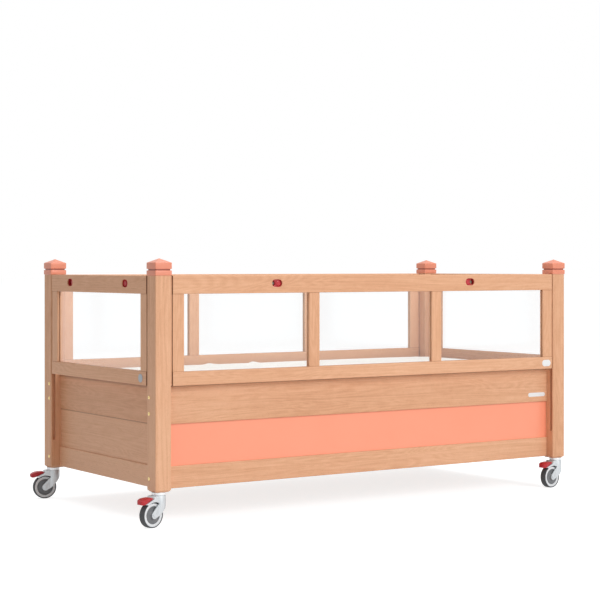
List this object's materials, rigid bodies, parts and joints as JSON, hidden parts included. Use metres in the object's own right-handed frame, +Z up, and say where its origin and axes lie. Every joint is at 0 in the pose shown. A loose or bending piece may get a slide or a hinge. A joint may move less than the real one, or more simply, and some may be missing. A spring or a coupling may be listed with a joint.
{
  "type": "pediatric hospital cot",
  "caption": "Beech hospital cot on braked swivel casters, with clear window gates on all sides that drop in post grooves, finger latches, lacquered panels and a mattress.",
  "frame": {"origin": "on the floor, under the middle of the footprint with the casters trailing to the left", "axes": "+X to the right of someone facing the front, +Y from the front to the rear, +Z up"},
  "size_m": [2.2009, 1.0246, 1.0383],
  "materials": {
    "beech": "clear satin lacquer",
    "plywood": "unfinished plywood",
    "salmon_lacquer": "satin coloured lacquer",
    "clear_pane": "clear polished sheet",
    "latch_red": "moulded red plastic",
    "mattress_cover": "white coated fabric",
    "collar_metal": "satin zinc grey",
    "caster_grey": "light grey moulded housing",
    "tyre_rubber": "grey non-marking tyre",
    "pedal_red": "moulded red plastic"
  },
  "bodies": {
    "frame": {"post_front_left": "beech", "cap_front_left": "salmon_lacquer", "caster_collar_front_left": "collar_metal", "post_front_right": "beech", "cap_front_right": "salmon_lacquer", "caster_collar_front_right": "collar_metal", "post_rear_right": "beech", "cap_rear_right": "salmon_lacquer", "caster_collar_rear_right": "collar_metal", "post_rear_left": "beech", "cap_rear_left": "salmon_lacquer", "caster_collar_rear_left": "collar_metal", "front_upper_board": "beech", "front_panel": "salmon_lacquer", "front_lower_rail": "beech", "right_upper_board": "beech", "right_panel": "beech", "right_lower_rail": "beech", "rear_upper_board": "beech", "rear_panel": "salmon_lacquer", "rear_lower_rail": "beech", "left_upper_board": "beech", "left_panel": "beech", "left_lower_rail": "beech", "ledger_front": "beech", "ledger_rear": "beech", "mattress_platform": "plywood", "mattress": "mattress_cover"},
    "front_gate": {"front_gate_frame": "beech", "front_pane_left": "clear_pane", "front_pane_middle": "clear_pane", "front_pane_right": "clear_pane"},
    "front_latch_left": {"front_latch_left": "latch_red"},
    "front_latch_right": {"front_latch_right": "latch_red"},
    "right_gate": {"right_gate_frame": "beech", "right_pane": "clear_pane"},
    "right_latch_left": {"right_latch_left": "latch_red"},
    "right_latch_right": {"right_latch_right": "latch_red"},
    "rear_gate": {"rear_gate_frame": "beech", "rear_pane_left": "clear_pane", "rear_pane_middle": "clear_pane", "rear_pane_right": "clear_pane"},
    "rear_latch_left": {"rear_latch_left": "latch_red"},
    "rear_latch_right": {"rear_latch_right": "latch_red"},
    "left_gate": {"left_gate_frame": "beech", "left_pane": "clear_pane"},
    "left_latch_left": {"left_latch_left": "latch_red"},
    "left_latch_right": {"left_latch_right": "latch_red"},
    "caster_fork_front_left": {"caster_fork_front_left": "caster_grey"},
    "caster_wheel_front_left": {"caster_wheel_front_left": "tyre_rubber"},
    "caster_pedal_front_left": {"caster_pedal_front_left": "pedal_red"},
    "caster_fork_front_right": {"caster_fork_front_right": "caster_grey"},
    "caster_wheel_front_right": {"caster_wheel_front_right": "tyre_rubber"},
    "caster_pedal_front_right": {"caster_pedal_front_right": "pedal_red"},
    "caster_fork_rear_right": {"caster_fork_rear_right": "caster_grey"},
    "caster_wheel_rear_right": {"caster_wheel_rear_right": "tyre_rubber"},
    "caster_pedal_rear_right": {"caster_pedal_rear_right": "pedal_red"},
    "caster_fork_rear_left": {"caster_fork_rear_left": "caster_grey"},
    "caster_wheel_rear_left": {"caster_wheel_rear_left": "tyre_rubber"},
    "caster_pedal_rear_left": {"caster_pedal_rear_left": "pedal_red"}
  },
  "joints": [
    {"name": "front_gate_drop", "type": "slide", "parent": "frame", "child": "front_gate", "axis": [0, 0, -1], "range_m": [0, 0.28]},
    {"name": "front_latch_left_pull", "type": "slide", "parent": "front_gate", "child": "front_latch_left", "axis": [1, 0, 0], "range_m": [0, 0.012], "stiffness_N_per_m": 400, "springref_m": -0.004},
    {"name": "front_latch_right_pull", "type": "slide", "parent": "front_gate", "child": "front_latch_right", "axis": [-1, 0, 0], "range_m": [0, 0.012], "stiffness_N_per_m": 400, "springref_m": -0.004},
    {"name": "right_gate_drop", "type": "slide", "parent": "frame", "child": "right_gate", "axis": [0, 0, -1], "range_m": [0, 0.28]},
    {"name": "right_latch_left_pull", "type": "slide", "parent": "right_gate", "child": "right_latch_left", "axis": [0, 1, 0], "range_m": [0, 0.012], "stiffness_N_per_m": 400, "springref_m": -0.004},
    {"name": "right_latch_right_pull", "type": "slide", "parent": "right_gate", "child": "right_latch_right", "axis": [0, -1, 0], "range_m": [0, 0.012], "stiffness_N_per_m": 400, "springref_m": -0.004},
    {"name": "rear_gate_drop", "type": "slide", "parent": "frame", "child": "rear_gate", "axis": [0, 0, -1], "range_m": [0, 0.28]},
    {"name": "rear_latch_left_pull", "type": "slide", "parent": "rear_gate", "child": "rear_latch_left", "axis": [-1, 0, 0], "range_m": [0, 0.012], "stiffness_N_per_m": 400, "springref_m": -0.004},
    {"name": "rear_latch_right_pull", "type": "slide", "parent": "rear_gate", "child": "rear_latch_right", "axis": [1, 0, 0], "range_m": [0, 0.012], "stiffness_N_per_m": 400, "springref_m": -0.004},
    {"name": "left_gate_drop", "type": "slide", "parent": "frame", "child": "left_gate", "axis": [0, 0, -1], "range_m": [0, 0.28]},
    {"name": "left_latch_left_pull", "type": "slide", "parent": "left_gate", "child": "left_latch_left", "axis": [0, -1, 0], "range_m": [0, 0.012], "stiffness_N_per_m": 400, "springref_m": -0.004},
    {"name": "left_latch_right_pull", "type": "slide", "parent": "left_gate", "child": "left_latch_right", "axis": [0, 1, 0], "range_m": [0, 0.012], "stiffness_N_per_m": 400, "springref_m": -0.004},
    {"name": "caster_swivel_front_left", "type": "hinge", "parent": "frame", "child": "caster_fork_front_left", "pos_m": [-0.9905, -0.4745, 0.1225], "axis": [0, 0, 1], "continuous": true},
    {"name": "caster_roll_front_left", "type": "hinge", "parent": "caster_fork_front_left", "child": "caster_wheel_front_left", "pos_m": [-1.02753, -0.48305, 0.05], "axis": [-0.225, 0.9744, 0], "continuous": true},
    {"name": "caster_brake_front_left", "type": "hinge", "parent": "caster_fork_front_left", "child": "caster_pedal_front_left", "pos_m": [-1.03337, -0.4844, 0.106], "axis": [-0.225, 0.9744, 0], "range_deg": [0, 14]},
    {"name": "caster_swivel_front_right", "type": "hinge", "parent": "frame", "child": "caster_fork_front_right", "pos_m": [1.0715, -0.4745, 0.1225], "axis": [0, 0, 1], "continuous": true},
    {"name": "caster_roll_front_right", "type": "hinge", "parent": "caster_fork_front_right", "child": "caster_wheel_front_right", "pos_m": [1.03378, -0.47913, 0.05], "axis": [-0.1219, 0.9925, 0], "continuous": true},
    {"name": "caster_brake_front_right", "type": "hinge", "parent": "caster_fork_front_right", "child": "caster_pedal_front_right", "pos_m": [1.02783, -0.47986, 0.106], "axis": [-0.1219, 0.9925, 0], "range_deg": [0, 14]},
    {"name": "caster_swivel_rear_right", "type": "hinge", "parent": "frame", "child": "caster_fork_rear_right", "pos_m": [1.0715, 0.4745, 0.1225], "axis": [0, 0, 1], "continuous": true},
    {"name": "caster_roll_rear_right", "type": "hinge", "parent": "caster_fork_rear_right", "child": "caster_wheel_rear_right", "pos_m": [1.03359, 0.47185, 0.05], "axis": [-0.0698, 0.9976, 0], "continuous": true},
    {"name": "caster_brake_rear_right", "type": "hinge", "parent": "caster_fork_rear_right", "child": "caster_pedal_rear_right", "pos_m": [1.02761, 0.47143, 0.106], "axis": [-0.0698, 0.9976, 0], "range_deg": [0, 14]},
    {"name": "caster_swivel_rear_left", "type": "hinge", "parent": "frame", "child": "caster_fork_rear_left", "pos_m": [-0.9905, 0.4745, 0.1225], "axis": [0, 0, 1], "continuous": true},
    {"name": "caster_roll_rear_left", "type": "hinge", "parent": "caster_fork_rear_left", "child": "caster_wheel_rear_left", "pos_m": [-1.02767, 0.4824, 0.05], "axis": [0.2079, 0.9781, 0], "continuous": true},
    {"name": "caster_brake_rear_left", "type": "hinge", "parent": "caster_fork_rear_left", "child": "caster_pedal_rear_left", "pos_m": [-1.03354, 0.48365, 0.106], "axis": [0.2079, 0.9781, 0], "range_deg": [0, 14]}
  ]
}
